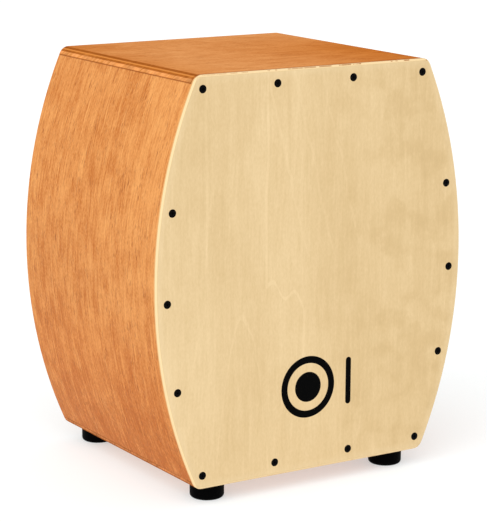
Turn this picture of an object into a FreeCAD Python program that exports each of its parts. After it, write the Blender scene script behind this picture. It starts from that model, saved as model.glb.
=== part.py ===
import FreeCAD, Part
import math
import os
import re

import Sketcher

# A cajon: a wooden box drum with bowed sides that is sat on and played on its thin front plate.
# The origin is on the floor under the middle of the box: +X to the right as seen from the front,
# +Y from the front plate to the back, +Z up. The wooden pieces are drawn from the middle of the
# front plate's lower edge (x 0, y 0 on its face, z 0 at the underside of the box) and then placed.

DIMENSIONS = {
    "body_width": 400,  # across the bow, at half height
    "body_height": 450,
    "body_depth": 300,
    "side_radius": 531.25,  # leaves 300 across at the top and the bottom
    "corner_radius": 12,
    "panel_thickness": 9,
    "rear_ease": 1,  # chamfer on the rear rim of the box
    "seam_ease": 0.3,  # chamfer on both sides of a glue line
    "plate_thickness": 3,
    "plate_bevel_width": 2.4,  # on the plate's face
    "plate_bevel_depth": 1.2,
    "back_thickness": 5,
    "back_recess": 1,
    "back_gap": 0.3,
    "sound_radius": 60,
    "sound_height": 250,
    "sound_ease": 1,
    "batten_width": 18,
    "batten_depth": 15,
    "batten_gap": 0.2,
    "drill_play": 0.05,
    # front plate screws
    "screw_head_radius": 4.5,
    "screw_shank_radius": 2,
    "screw_length": 16,
    "screw_proud": 0.6,
    "screw_tip_radius": 0.3,  # every screw's point is slightly blunt
    "screw_row_inset": 15,  # the top and bottom rows, from the plate's edge
    "screw_side_inset": 14.6,  # the side screws, from the bowed edge
    "screw_corner_x": 142,
    "screw_inner_x": 49,
    "screw_side_low": 112,
    "screw_side_middle": 210,
    "screw_side_high": 307,
    # back panel screws
    "back_screw_head_radius": 3.5,
    "back_screw_shank_radius": 1.75,
    "back_screw_length": 16,
    "back_screw_proud": 0.4,
    "back_screw_x": 62,
    "back_screw_spacing": 160,  # from half height to the upper and lower side screws
    # feet
    "foot_radius": 19,
    "foot_height": 19,
    "foot_rounding": 4,
    "foot_top_ease": 0.6,
    "foot_x": 120,
    "foot_front_y": 27,
    "foot_rear_y": 277,
    "foot_recess_radius": 8.5,
    "foot_recess_depth": 11,
    "foot_hole_radius": 2.6,
    "washer_radius": 7.5,
    "washer_thickness": 1.2,
    "foot_screw_radius": 2,
    "foot_screw_head_radius": 4,
    "foot_screw_head_height": 2.6,
    "foot_screw_length": 16,
    # snares
    "rail_low": 318,
    "rail_height": 22,
    "rail_depth": 16,
    "block_width": 26,
    "block_height": 24,
    "clip_inner_x": 18,
    "clip_width": 62,
    "clip_height": 14,
    "clip_thickness": 1,
    "clip_rise": 4,  # from the rail's underside to the clip's lower edge
    "clip_hole_radius": 1.6,
    "clip_hole_inset": 5,
    "wire_root": 3,  # from the clip's lower edge to the wires' lower ends
    "wire_radius": 0.9,
    "wire_count": 10,
    "wire_length": 88,
    "wire_clearance": 0.6,  # from the free ends to the back of the plate
    "clip_rounding": 2,
    "clip_screw_radius": 1.5,
    "clip_screw_head_radius": 3,
    "clip_screw_head_height": 1.6,
    "clip_screw_length": 12,
}

doc = FreeCAD.newDocument("Cajon")
sheet = doc.addObject("Spreadsheet::Sheet", "Dims")
for row, (alias, number) in enumerate(DIMENSIONS.items(), start=1):
    sheet.set("A%d" % row, alias)
    sheet.set("B%d" % row, str(number))
    sheet.setAlias("B%d" % row, alias)
doc.recompute()

sub_parts = []
V = FreeCAD.Vector

BODY_TOP = "body_height"
INNER_LOW = "panel_thickness"
INNER_HIGH = "(body_height - panel_thickness)"
BACK_FACE = "(body_depth - back_recess)"
BACK_INSIDE = "(body_depth - back_recess - back_thickness)"


# ---------------------------------------------------------------- sketches and features


def bound(text):
    """An expression with each dimension's alias written as a reference to the sheet."""
    return re.sub(r"[a-z]+(?:_[a-z]+)+", lambda found: "Dims." + found.group(0), text)


def value(text):
    return float(sheet.evalExpression(bound(text)))


def bow(inset, height):
    """Half the width between the bowed sides at a height, a distance in from their outer faces."""
    return "(body_width/2 - side_radius + sqrt((side_radius - %s)^2 - (%s - body_height/2)^2))" % (
        inset,
        height,
    )


def new_body(label):
    """A sub-part drawn from the front plate's lower edge, placed on its feet."""
    body = doc.addObject("PartDesign::Body", label)
    body.Label = label
    body.setExpression("Placement.Base.y", bound("-body_depth/2"))
    body.setExpression("Placement.Base.z", bound("foot_height"))
    sub_parts.append(body)
    return body


def new_sketch(body, role, offset="0"):
    """A sketch on a plane of the body's own origin, moved along the plane's normal."""
    sketch = body.newObject("Sketcher::SketchObject", "Sketch")
    plane = next(p for p in body.Origin.OriginFeatures if p.Role == role)
    sketch.AttachmentSupport = [(plane, "")]
    sketch.MapMode = "FlatFace"
    sketch.setExpression("AttachmentOffset.Base.z", bound(offset))
    return sketch


def upright_sketch(body, depth):
    """A sketch that stands parallel to the front plate, at a depth behind its face."""
    return new_sketch(body, "XZ_Plane", "-(%s)" % depth)


def pin(sketch, geometry, point, x, y):
    """Dimensions a point of a sketch from the sketch's origin."""
    for kind, axis, text in (("DistanceX", -2, x), ("DistanceY", -1, y)):
        if abs(value(text)) < 1e-9:
            sketch.addConstraint(Sketcher.Constraint("PointOnObject", geometry, point, axis))
        else:
            made = Sketcher.Constraint(kind, -1, 1, geometry, point, value(text))
            index = sketch.addConstraint(made)
            sketch.setExpression("Constraints[%d]" % index, bound(text))


def arc_middle(start, end, radius):
    """Middle of an arc that bulges to the right of its travel, or left for a negative radius."""
    chord = end - start
    rise = abs(radius) - math.sqrt(radius**2 - (chord.Length / 2) ** 2)
    right = V(chord.y, -chord.x, 0).normalize()
    return (start + end) / 2 + right * math.copysign(rise, radius)


def draw_outline(sketch, corners, arcs):
    """A closed outline through the corners; arcs gives the radius of the edge after a corner."""
    points = [V(value(x), value(y), 0) for x, y in corners]
    edges = []
    for index, (start, end) in enumerate(zip(points, points[1:] + points[:1])):
        if index in arcs:
            curve = Part.Arc(start, arc_middle(start, end, value(arcs[index])), end)
        else:
            curve = Part.LineSegment(start, end)
        geometry = sketch.addGeometry(curve)
        first = 1 if sketch.getPoint(geometry, 1).distanceToPoint(start) < 1e-6 else 2
        edges.append((geometry, first, 3 - first))
    for edge, after in zip(edges, edges[1:] + edges[:1]):
        joined = Sketcher.Constraint("Coincident", edge[0], edge[2], after[0], after[1])
        sketch.addConstraint(joined)
    for (geometry, first, _), (x, y) in zip(edges, corners):
        pin(sketch, geometry, first, x, y)
    for index, radius in arcs.items():
        size = Sketcher.Constraint("Radius", edges[index][0], abs(value(radius)))
        made = sketch.addConstraint(size)
        sketch.setExpression("Constraints[%d]" % made, bound("abs(%s)" % radius))


def draw_between_bows(sketch, inset, low, high):
    """An outline from one bowed side to the other, between two heights."""
    wide_low, wide_high = bow(inset, low), bow(inset, high)
    corners = [("-" + wide_low, low), (wide_low, low), (wide_high, high), ("-" + wide_high, high)]
    radius = "(side_radius - %s)" % inset
    draw_outline(sketch, corners, {1: radius, 3: radius})


def draw_bowed_strip(sketch, side, outer, inner, low, high):
    """A strip that follows the bow on one side, between two insets and two heights."""
    corners = [
        (bow(inner, low), low),
        (bow(outer, low), low),
        (bow(outer, high), high),
        (bow(inner, high), high),
    ]
    arcs = {1: "(side_radius - %s)" % outer, 3: "-(side_radius - %s)" % inner}
    if side < 0:
        # Drawn the other way round, so that the arcs keep their sense.
        corners = [("-" + x, y) for x, y in (corners[1], corners[0], corners[3], corners[2])]
        arcs = {1: arcs[3], 3: arcs[1]}
    draw_outline(sketch, corners, arcs)


def draw_circles(sketch, centres, radius):
    for x, y in centres:
        circle = Part.Circle(V(value(x), value(y), 0), V(0, 0, 1), value(radius))
        geometry = sketch.addGeometry(circle)
        pin(sketch, geometry, 3, x, y)
        size = sketch.addConstraint(Sketcher.Constraint("Radius", geometry, value(radius)))
        sketch.setExpression("Constraints[%d]" % size, bound(radius))


def pad_back(body, sketch, length):
    """Pads an upright sketch away from the front plate."""
    pad = body.newObject("PartDesign::Pad", "Pad")
    pad.Profile = sketch
    pad.setExpression("Length", bound(length))
    pad.Reversed = True
    doc.recompute()
    return pad


def cut_done(body, before):
    """Raises if the body's last feature took nothing away."""
    doc.recompute()
    if body.Shape.Volume > before - 1:
        raise RuntimeError(body.Label + ": the last cut took nothing away")


def drill(body, sketch, centres, radius, depth, reverse):
    """Blind round holes from the sketch's plane."""
    before = body.Shape.Volume
    draw_circles(sketch, centres, radius)
    pocket = body.newObject("PartDesign::Pocket", "Pilots")
    pocket.Profile = sketch
    pocket.setExpression("Length", bound(depth))
    pocket.Reversed = reverse
    cut_done(body, before)


def drill_countersunk(body, sketch, centres, head_radius, shank_radius, reverse):
    """Screw holes through a panel, with 90 degree countersinks."""
    before = body.Shape.Volume
    draw_circles(sketch, centres, shank_radius)
    doc.recompute()
    hole = body.newObject("PartDesign::Hole", "ScrewHoles")
    hole.Profile = sketch
    hole.Reversed = reverse
    hole.ThreadType = "None"
    hole.DepthType = "ThroughAll"
    hole.HoleCutType = "Countersink"
    hole.HoleCutCustomValues = True
    hole.HoleCutCountersinkAngle = 90
    hole.setExpression("Diameter", bound("2*(%s + drill_play)" % shank_radius))
    hole.setExpression("HoleCutDiameter", bound("2*(%s + drill_play)" % head_radius))
    cut_done(body, before)


def chosen_edges(feature, test):
    """Names of the edges whose box passes the test."""
    doc.recompute()
    edges = enumerate(feature.Shape.Edges, start=1)
    return ["Edge%d" % index for index, edge in edges if test(edge.BoundBox)]


def dress(body, kind, size, test):
    """A Fillet or Chamfer on the chosen edges of the body's last feature."""
    base = body.Tip
    feature = body.newObject("PartDesign::" + kind, kind)
    feature.Base = (base, chosen_edges(base, test))
    feature.setExpression("Radius" if kind == "Fillet" else "Size", bound(size))
    doc.recompute()
    return feature


def runs_back(box):
    """An edge straight along the depth."""
    return box.YLength > 0.5 and box.XLength < 0.01 and box.ZLength < 0.01


def near(number, text):
    return abs(number - value(text)) < 0.01


# ---------------------------------------------------------------- the box


def end_panel(label, low, high):
    """The seat or the bottom board: it covers the ends of the side panels, and its long edges are
    rounded into the bow."""
    body = new_body(label)
    sketch = upright_sketch(body, "plate_thickness")
    draw_between_bows(sketch, "0", low, high)
    pad_back(body, sketch, "body_depth - plate_thickness")
    outer = BODY_TOP if high == BODY_TOP else "0"
    joint = low if high == BODY_TOP else high
    rear = value("body_depth")
    dress(body, "Fillet", "corner_radius", lambda box: runs_back(box) and near(box.ZMin, outer))
    dress(
        body,
        "Chamfer",
        "rear_ease",
        lambda box: box.YMin > rear - 0.01 and not (near(box.ZMin, joint) and near(box.ZMax, joint)),
    )
    dress(body, "Chamfer", "seam_ease", lambda box: runs_back(box) and near(box.ZMin, joint))
    return body


def side_panel(label, side):
    """A bowed plywood side, glued between the seat and the bottom board."""
    body = new_body(label)
    sketch = upright_sketch(body, "plate_thickness")
    draw_bowed_strip(sketch, side, "0", "panel_thickness", INNER_LOW, INNER_HIGH)
    pad_back(body, sketch, "body_depth - plate_thickness")
    rear = value("body_depth")
    widest = value("body_width/2")
    end = value(bow("0", INNER_LOW))
    dress(
        body,
        "Chamfer",
        "rear_ease",
        lambda box: box.YMin > rear - 0.01 and max(abs(box.XMin), abs(box.XMax)) > widest - 0.01,
    )
    dress(
        body,
        "Chamfer",
        "seam_ease",
        lambda box: runs_back(box) and abs(abs(box.XMin) - end) < 0.01,
    )
    return body


def front_screw_centres():
    rows = [
        (x, height)
        for height in ("screw_row_inset", "(body_height - screw_row_inset)")
        for x in ("screw_corner_x", "screw_inner_x")
    ]
    sides = [
        (bow("screw_side_inset", height), height)
        for height in ("screw_side_low", "screw_side_middle", "screw_side_high")
    ]
    return [(sign + x, height) for x, height in rows + sides for sign in ("", "-")]


def back_screw_centres():
    middle = "(panel_thickness + batten_width/2)"
    ends = [("back_screw_x", height) for height in (middle, "(body_height - %s)" % middle)]
    steps = ("- back_screw_spacing", "", "+ back_screw_spacing")
    heights = ["(body_height/2 %s)" % step for step in steps]
    sides = [(bow(middle, height), height) for height in heights]
    return [(sign + x, height) for x, height in ends + sides for sign in ("", "-")]


def front_plate():
    """The thin playing surface. It covers the front edges of the box and is screwed on all round."""
    body = new_body("front_plate")
    sketch = upright_sketch(body, "0")
    draw_between_bows(sketch, "0", "0", BODY_TOP)
    pad_back(body, sketch, "plate_thickness")
    dress(body, "Fillet", "corner_radius", runs_back)
    bevel = dress(body, "Chamfer", "plate_bevel_depth", lambda box: box.YMax < 0.01)
    bevel.ChamferType = "Two distances"
    bevel.setExpression("Size2", bound("plate_bevel_width"))
    doc.recompute()
    drill_countersunk(
        body,
        upright_sketch(body, "0"),
        front_screw_centres(),
        "screw_head_radius",
        "screw_shank_radius",
        False,
    )


def back_panel():
    """The back board with the round sound hole, let in between the panels' rear edges."""
    body = new_body("back_panel")
    sketch = upright_sketch(body, BACK_INSIDE)
    edge = "(panel_thickness + back_gap)"
    draw_between_bows(sketch, edge, edge, "(body_height - %s)" % edge)
    draw_circles(sketch, [("0", "sound_height")], "sound_radius")
    pad_back(body, sketch, "back_thickness")
    face = value(BACK_FACE)
    hole = value("2*sound_radius")
    dress(
        body,
        "Fillet",
        "sound_ease",
        lambda box: box.YMin > face - 0.01 and abs(box.XLength - hole) < 0.01,
    )
    drill_countersunk(
        body,
        upright_sketch(body, BACK_FACE),
        back_screw_centres(),
        "back_screw_head_radius",
        "back_screw_shank_radius",
        True,
    )


def frame(name, depth, drilled_face, reverse, centres, radius, pilot_depth):
    """Four battens inside the box, against one of its ends: two bowed ones against the sides and two
    between them. Each is drilled for the screws that end in it."""
    inner = "(panel_thickness + batten_width)"
    for side, label in ((-1, "left"), (1, "right")):
        body = new_body("%s_frame_%s" % (name, label))
        sketch = upright_sketch(body, depth)
        draw_bowed_strip(sketch, side, "panel_thickness", inner, INNER_LOW, INNER_HIGH)
        pad_back(body, sketch, "batten_depth")
        bites = [c for c in centres if value(c[0]) * side > value(bow(inner, c[1]))]
        drill(body, upright_sketch(body, drilled_face), bites, radius, pilot_depth, reverse)
    spans = (
        ("bottom", INNER_LOW, inner),
        ("top", "(body_height - %s)" % inner, INNER_HIGH),
    )
    for label, low, high in spans:
        body = new_body("%s_frame_%s" % (name, label))
        sketch = upright_sketch(body, depth)
        draw_between_bows(sketch, "(%s + batten_gap)" % inner, low, high)
        pad_back(body, sketch, "batten_depth")
        bites = [c for c in centres if abs(value(c[0])) < value(bow(inner, c[1]))]
        bites = [c for c in bites if value(low) < value(c[1]) < value(high)]
        drill(body, upright_sketch(body, drilled_face), bites, radius, pilot_depth, reverse)


def foot_centres():
    return [
        ("foot_%s_%s" % (end, side), sign + "foot_x", y)
        for end, y in (("front", "foot_front_y"), ("rear", "foot_rear_y"))
        for side, sign in (("left", "-"), ("right", ""))
    ]


def bottom_panel():
    body = end_panel("bottom_panel", "0", INNER_LOW)
    centres = [(x, y) for _, x, y in foot_centres()]
    depth = "foot_screw_length + foot_recess_depth - washer_thickness - foot_height + 0.4"
    sketch = new_sketch(body, "XY_Plane")
    drill(body, sketch, centres, "(foot_screw_radius + drill_play)", depth, True)


# ---------------------------------------------------------------- feet


def foot(label, x, y):
    """A round rubber foot with a recess below for its washer and screw."""
    body = doc.addObject("PartDesign::Body", label)
    body.Label = label
    body.setExpression("Placement.Base.x", bound(x))
    body.setExpression("Placement.Base.y", bound(y + " - body_depth/2"))
    sub_parts.append(body)
    corners = [
        ("foot_hole_radius", "foot_recess_depth"),
        ("foot_recess_radius", "foot_recess_depth"),
        ("foot_recess_radius", "0"),
        ("(foot_radius - foot_rounding)", "0"),
        ("foot_radius", "foot_rounding"),
        ("foot_radius", "(foot_height - foot_top_ease)"),
        ("(foot_radius - foot_top_ease)", "foot_height"),
        ("foot_hole_radius", "foot_height"),
    ]
    sketch = new_sketch(body, "XZ_Plane")
    draw_outline(sketch, corners, {3: "foot_rounding"})
    revolution = body.newObject("PartDesign::Revolution", "Revolution")
    revolution.Profile = sketch
    revolution.ReferenceAxis = (sketch, ["V_Axis"])
    revolution.Angle = 360
    doc.recompute()


# ---------------------------------------------------------------- screws, washers and snares


def add_feature(label, solids):
    """A sub-part of several separate solids, drawn where the bodies are and placed with them."""
    feature = doc.addObject("Part::Feature", label)
    feature.Label = label
    feature.Shape = Part.makeCompound(solids)
    corner = V(0, -value("body_depth/2"), value("foot_height"))
    feature.Placement = FreeCAD.Placement(corner, FreeCAD.Rotation())
    sub_parts.append(feature)


def turned(points, dome_rise):
    """A solid turned about +Y: from its tip to the rim of its head through the points (radius,
    distance along the axis), then closed by a dome that stands up by dome_rise."""
    rim_radius, rim = points[-1]
    outline = [V(radius, along, 0) for radius, along in points]
    top = V(0, rim - dome_rise, 0)
    sphere = (rim_radius**2 + dome_rise**2) / (2 * dome_rise)
    lean = math.asin(rim_radius / sphere) / 2
    middle = V(sphere * math.sin(lean), top.y + sphere * (1 - math.cos(lean)), 0)
    edges = [Part.makeLine(a, b) for a, b in zip(outline, outline[1:])]
    edges.append(Part.Arc(outline[-1], middle, top).toShape())
    edges.append(Part.makeLine(top, outline[0]))
    face = Part.Face(Part.Wire(edges))
    return face.revolve(V(0, 0, 0), V(0, 1, 0), 360)


def cross_slot(reach, width, depth, top):
    """The cross of a screw's drive, cut down from the top of its head along +Y."""
    arm = Part.makeBox(2 * reach, depth, width, V(-reach, top, -width / 2))
    return arm.fuse(Part.makeBox(width, depth, 2 * reach, V(-width / 2, top, -reach)))


def wood_screw(head_radius, shank_radius, length, dome, neck, rim):
    """A wood screw along +Y, its seat at y 0: neck is how far a countersunk head reaches in, and rim
    how far a pan head stands out below its dome."""
    point = 2 * shank_radius
    outline = [
        (0, length),
        (value("screw_tip_radius"), length),
        (shank_radius, length - point),
        (shank_radius, neck),
        (head_radius, 0),
    ]
    if rim:
        outline.append((head_radius, -rim))
    body = turned(outline, dome)
    slot_depth = (dome + rim + neck) * 0.55
    return body.cut(cross_slot(head_radius * 0.52, head_radius * 0.2, slot_depth, -rim - dome))


def at(shape, x, y, z, rotation=FreeCAD.Rotation()):
    placed = shape.copy()
    placed.Placement = FreeCAD.Placement(V(x, y, z), rotation)
    return placed


def front_plate_screws():
    head, shank = value("screw_head_radius"), value("screw_shank_radius")
    screw = wood_screw(head, shank, value("screw_length"), value("screw_proud"), head - shank, 0)
    spots = [(value(x), value(z)) for x, z in front_screw_centres()]
    add_feature("front_plate_screws", [at(screw, x, 0, z) for x, z in spots])


def back_panel_screws():
    head, shank = value("back_screw_head_radius"), value("back_screw_shank_radius")
    length, proud = value("back_screw_length"), value("back_screw_proud")
    screw = wood_screw(head, shank, length, proud, head - shank, 0)
    turn = FreeCAD.Rotation(V(0, 0, 1), 180)
    spots = [(value(x), value(z)) for x, z in back_screw_centres()]
    face = value(BACK_FACE)
    add_feature("back_panel_screws", [at(screw, x, face, z, turn) for x, z in spots])


def foot_fasteners():
    """A washer in each foot's recess, and the pan head screw that goes up through it."""
    seat = value("foot_recess_depth - foot_height")
    thick = value("washer_thickness")
    ring = Part.makeCylinder(value("washer_radius"), thick)
    ring = ring.cut(Part.makeCylinder(value("foot_hole_radius"), thick))
    height = value("foot_screw_head_height")
    dome = height / 2
    screw = wood_screw(
        value("foot_screw_head_radius"),
        value("foot_screw_radius"),
        value("foot_screw_length"),
        dome,
        0,
        height - dome,
    )
    upright = FreeCAD.Rotation(V(1, 0, 0), 90)
    spots = [(value(x), value(y)) for _, x, y in foot_centres()]
    add_feature("foot_washers", [at(ring, x, y, seat - thick) for x, y in spots])
    add_feature("foot_screws", [at(screw, x, y, seat - thick, upright) for x, y in spots])


RAIL_FACE = "(plate_thickness + batten_depth)"
CLIP_FACE = "(plate_thickness + batten_depth - clip_thickness)"
CLIP_LOW = "(rail_low + clip_rise)"


def clip_screw_centres(sign):
    """Centres of the two screws of one snare clip; sign is "-" on the left."""
    steps = ("clip_hole_inset", "(clip_width - clip_hole_inset)")
    return [(sign + "(clip_inner_x + %s)" % step, CLIP_LOW + " + clip_height/2") for step in steps]


def snare_rail():
    """The cross rail behind the front side battens, with a glue block under each end."""
    body = new_body("snare_rail")
    sketch = upright_sketch(body, RAIL_FACE)
    draw_between_bows(sketch, "(panel_thickness + batten_gap)", "rail_low", "(rail_low + rail_height)")
    pad_back(body, sketch, "rail_depth")
    centres = clip_screw_centres("") + clip_screw_centres("-")
    depth = "clip_screw_length - clip_thickness + 0.4"
    radius = "(clip_screw_radius + drill_play)"
    drill(body, upright_sketch(body, RAIL_FACE), centres, radius, depth, False)
    inner = "(panel_thickness + block_width)"
    low = "(rail_low - block_height)"
    for side, label in ((-1, "left"), (1, "right")):
        block = new_body("snare_block_" + label)
        outline = upright_sketch(block, RAIL_FACE)
        draw_bowed_strip(outline, side, "(panel_thickness + batten_gap)", inner, low, "rail_low")
        pad_back(block, outline, "rail_depth")


def snare_clip(label, sign):
    """A thin brass plate on the rail that the snare wires are soldered to."""
    body = new_body(label)
    sketch = upright_sketch(body, CLIP_FACE)
    ends = ["(clip_inner_x + clip_width)", "clip_inner_x"]
    if not sign:
        ends.reverse()
    left, right = sign + ends[0], sign + ends[1]
    high = CLIP_LOW + " + clip_height"
    draw_outline(sketch, [(left, CLIP_LOW), (right, CLIP_LOW), (right, high), (left, high)], {})
    pad_back(body, sketch, "clip_thickness")
    dress(body, "Fillet", "clip_rounding", runs_back)
    face = upright_sketch(body, CLIP_FACE)
    drill(body, face, clip_screw_centres(sign), "clip_hole_radius", "clip_thickness", False)


def snare_wires(label, sign):
    """A row of thin wires that lean from the clip to the back of the front plate."""
    radius, length = value("wire_radius"), value("wire_length")
    root = V(0, value(CLIP_FACE) - radius - value("drill_play"), value(CLIP_LOW + " + wire_root"))
    reach = root.y - value("plate_thickness + wire_radius + wire_clearance")
    lean = math.asin(reach / length)
    axis = V(0, -math.sin(lean), math.cos(lean))
    first = value("clip_inner_x + 2*clip_hole_inset")
    last = value("clip_inner_x + clip_width - 2*clip_hole_inset")
    count = int(value("wire_count"))
    rods = []
    for index in range(count):
        x = sign * (first + (last - first) * index / (count - 1))
        rods.append(Part.makeCylinder(radius, length, V(x, root.y, root.z), axis))
    add_feature(label, rods)


def snare_screws():
    height = value("clip_screw_head_height")
    screw = wood_screw(
        value("clip_screw_head_radius"),
        value("clip_screw_radius"),
        value("clip_screw_length"),
        height / 2,
        0,
        height / 2,
    )
    spots = [(value(x), value(z)) for sign in ("-", "") for x, z in clip_screw_centres(sign)]
    add_feature("snare_screws", [at(screw, x, value(CLIP_FACE), z) for x, z in spots])


# ---------------------------------------------------------------- the whole drum

end_panel("top_panel", INNER_HIGH, BODY_TOP)
bottom_panel()
side_panel("left_side_panel", -1)
side_panel("right_side_panel", 1)
front_plate()
back_panel()
frame(
    "front",
    "plate_thickness",
    "plate_thickness",
    False,
    front_screw_centres(),
    "(screw_shank_radius + drill_play)",
    "screw_length - plate_thickness + 0.4",
)
frame(
    "back",
    "(%s - batten_depth)" % BACK_INSIDE,
    BACK_INSIDE,
    True,
    back_screw_centres(),
    "(back_screw_shank_radius + drill_play)",
    "back_screw_length - back_thickness + 0.4",
)
for name, x, y in foot_centres():
    foot(name, x, y)
front_plate_screws()
back_panel_screws()
foot_fasteners()
snare_rail()
snare_clip("snare_clip_left", "-")
snare_clip("snare_clip_right", "")
snare_wires("snare_wires_left", -1)
snare_wires("snare_wires_right", 1)
snare_screws()

doc.recompute()
for thing in doc.Objects:
    if {"Invalid", "Error"} & set(thing.State):
        raise RuntimeError("%s failed: %s" % (thing.Label, thing.State))
for part in sub_parts:
    if part.Shape.isNull() or not part.Shape.isValid():
        raise RuntimeError(part.Label + " has no valid shape")

os.makedirs("parts", exist_ok=True)
for part in sub_parts:
    part.Shape.exportStep("parts/%s.step" % part.Label)
    box = part.Shape.BoundBox
    print("%-20s %2d solids %9.0f mm3" % (part.Label, len(part.Shape.Solids), part.Shape.Volume), box)
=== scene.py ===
"""A cajon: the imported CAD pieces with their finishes, the snares as real coils, and a printed mark."""

import math

import bpy
from mathutils import Matrix, Vector


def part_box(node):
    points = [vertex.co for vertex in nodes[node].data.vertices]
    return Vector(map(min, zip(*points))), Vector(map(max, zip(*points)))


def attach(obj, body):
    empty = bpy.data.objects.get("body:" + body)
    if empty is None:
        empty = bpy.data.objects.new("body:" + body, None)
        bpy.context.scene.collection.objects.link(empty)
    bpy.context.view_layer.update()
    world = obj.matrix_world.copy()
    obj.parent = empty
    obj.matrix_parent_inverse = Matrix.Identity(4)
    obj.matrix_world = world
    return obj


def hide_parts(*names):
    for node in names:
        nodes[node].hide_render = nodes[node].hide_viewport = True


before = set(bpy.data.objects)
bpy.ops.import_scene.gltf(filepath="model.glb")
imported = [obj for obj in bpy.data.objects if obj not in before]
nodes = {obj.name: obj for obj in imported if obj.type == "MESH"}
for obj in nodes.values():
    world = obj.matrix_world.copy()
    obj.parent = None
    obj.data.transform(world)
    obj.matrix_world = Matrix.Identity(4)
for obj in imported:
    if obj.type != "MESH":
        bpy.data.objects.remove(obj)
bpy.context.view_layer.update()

MM = 0.001

# The bowed outline, in millimetres in the row frame: two arcs about points at half height.
plate_low, plate_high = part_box("front_plate")
HALF_WIDTH = plate_high.x / MM
BODY_LOW, BODY_HIGH = plate_low.z / MM, plate_high.z / MM
BODY_FRONT = plate_low.y / MM
BODY_REAR = -BODY_FRONT
HALF_HEIGHT = (BODY_HIGH - BODY_LOW) / 2
MIDDLE_HEIGHT = (BODY_HIGH + BODY_LOW) / 2
BOW = 50
PANEL = BODY_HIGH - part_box("top_panel")[0].z / MM
SIDE_RADIUS = (HALF_HEIGHT**2 + BOW**2) / (2 * BOW)
ARC_CENTRE = SIDE_RADIUS - HALF_WIDTH
# The sound hole in the back.
HOLE_RADIUS = 60
HOLE_HEIGHT = MIDDLE_HEIGHT + 25


# ---------------------------------------------------------------- shader building


class Graph:
    """A material's node tree. Its calls take numbers or sockets and return sockets."""

    def __init__(self, name):
        self.material = bpy.data.materials.new(name)
        self.material.use_nodes = True
        self.tree = self.material.node_tree
        self.shader = self.tree.nodes["Principled BSDF"]
        point = self.tree.nodes.new("ShaderNodeTexCoord").outputs["Object"]
        self.point = self.vector("SCALE", point, scale=1 / MM)
        split = self.tree.nodes.new("ShaderNodeSeparateXYZ")
        self.tree.links.new(self.point, split.inputs[0])
        self.x, self.y, self.z = split.outputs

    def put(self, socket, value):
        """Links a socket to another, or sets a plain number on it."""
        if isinstance(value, bpy.types.NodeSocket):
            self.tree.links.new(value, socket)
        else:
            socket.default_value = value

    def maths(self, operation, a, b=0.0, c=0.0):
        node = self.tree.nodes.new("ShaderNodeMath")
        node.operation = operation
        for socket, value in zip(node.inputs, (a, b, c)):
            self.put(socket, value)
        return node.outputs[0]

    def vector(self, operation, a, scale=None):
        node = self.tree.nodes.new("ShaderNodeVectorMath")
        node.operation = operation
        self.put(node.inputs[0], a)
        if scale is not None:
            self.put(node.inputs["Scale"], scale)
        return node.outputs["Value" if operation == "LENGTH" else "Vector"]

    def joined(self, x, y, z):
        node = self.tree.nodes.new("ShaderNodeCombineXYZ")
        for socket, value in zip(node.inputs, (x, y, z)):
            self.put(socket, value)
        return node.outputs[0]

    def noise(self, point, detail=2.0):
        """Noise whose grains are about one unit of the point across."""
        node = self.tree.nodes.new("ShaderNodeTexNoise")
        self.put(node.inputs["Vector"], point)
        self.put(node.inputs["Scale"], 1.0)
        self.put(node.inputs["Detail"], detail)
        return node.outputs["Fac"]

    def cloud(self, scale, detail=3.0):
        """Noise without a direction, with scale grains to a millimetre."""
        return self.noise(self.vector("SCALE", self.point, scale=scale), detail)

    def band(self, value, low, high, to_low=0.0, to_high=1.0):
        """Goes smoothly from to_low to to_high as value goes from low to high."""
        node = self.tree.nodes.new("ShaderNodeMapRange")
        node.interpolation_type = "SMOOTHSTEP"
        for socket, number in zip(node.inputs, (value, low, high, to_low, to_high)):
            self.put(socket, number)
        return node.outputs[0]

    def line(self, value, centre, width):
        """One where value is centre, and zero from half of width away from it."""
        away = self.maths("ABSOLUTE", self.maths("SUBTRACT", value, centre))
        return self.band(away, width / 4, width / 2, 1.0, 0.0)

    def mix(self, share, a, b, blend="MIX"):
        """Goes from colour a to colour b as share goes from zero to one."""
        node = self.tree.nodes.new("ShaderNodeMix")
        node.data_type = "RGBA"
        node.blend_type = blend
        self.put(node.inputs["Factor"], share)
        for socket, value in ((node.inputs[6], a), (node.inputs[7], b)):
            self.put(socket, value if isinstance(value, bpy.types.NodeSocket) else (*value, 1.0))
        return node.outputs[2]

    def tinted(self, colour, amount):
        """The colour with its brightness multiplied by a socket."""
        return self.vector("SCALE", colour, scale=amount)

    def total(self, *weighted):
        """The sum of (socket - 0.5) times weight, plus one: a brightness about one."""
        result = 1.0
        for socket, weight in weighted:
            result = self.maths("MULTIPLY_ADD", self.maths("SUBTRACT", socket, 0.5), weight, result)
        return result

    def bump(self, height, distance):
        """Raises the surface by up to the distance, in metres, where the height is one."""
        node = self.tree.nodes.new("ShaderNodeBump")
        node.inputs["Distance"].default_value = distance
        self.put(node.inputs["Height"], height)
        self.put(self.shader.inputs["Normal"], node.outputs[0])

    def finish(self, colour, roughness, **values):
        """Links the colour and roughness, and sets the plain values on the shader itself."""
        self.put(self.shader.inputs["Base Color"], colour)
        self.put(self.shader.inputs["Roughness"], roughness)
        for name, value in values.items():
            self.shader.inputs[name.replace("_", " ")].default_value = value
        return self.material


def bow_depth(g):
    """How far a point lies inside the bowed outline of its side, in millimetres."""
    across = g.maths("ADD", g.maths("ABSOLUTE", g.x), ARC_CENTRE)
    up = g.maths("SUBTRACT", g.z, MIDDLE_HEIGHT)
    return g.maths("SUBTRACT", SIDE_RADIUS, g.vector("LENGTH", g.joined(across, up, 0.0)))


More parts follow.
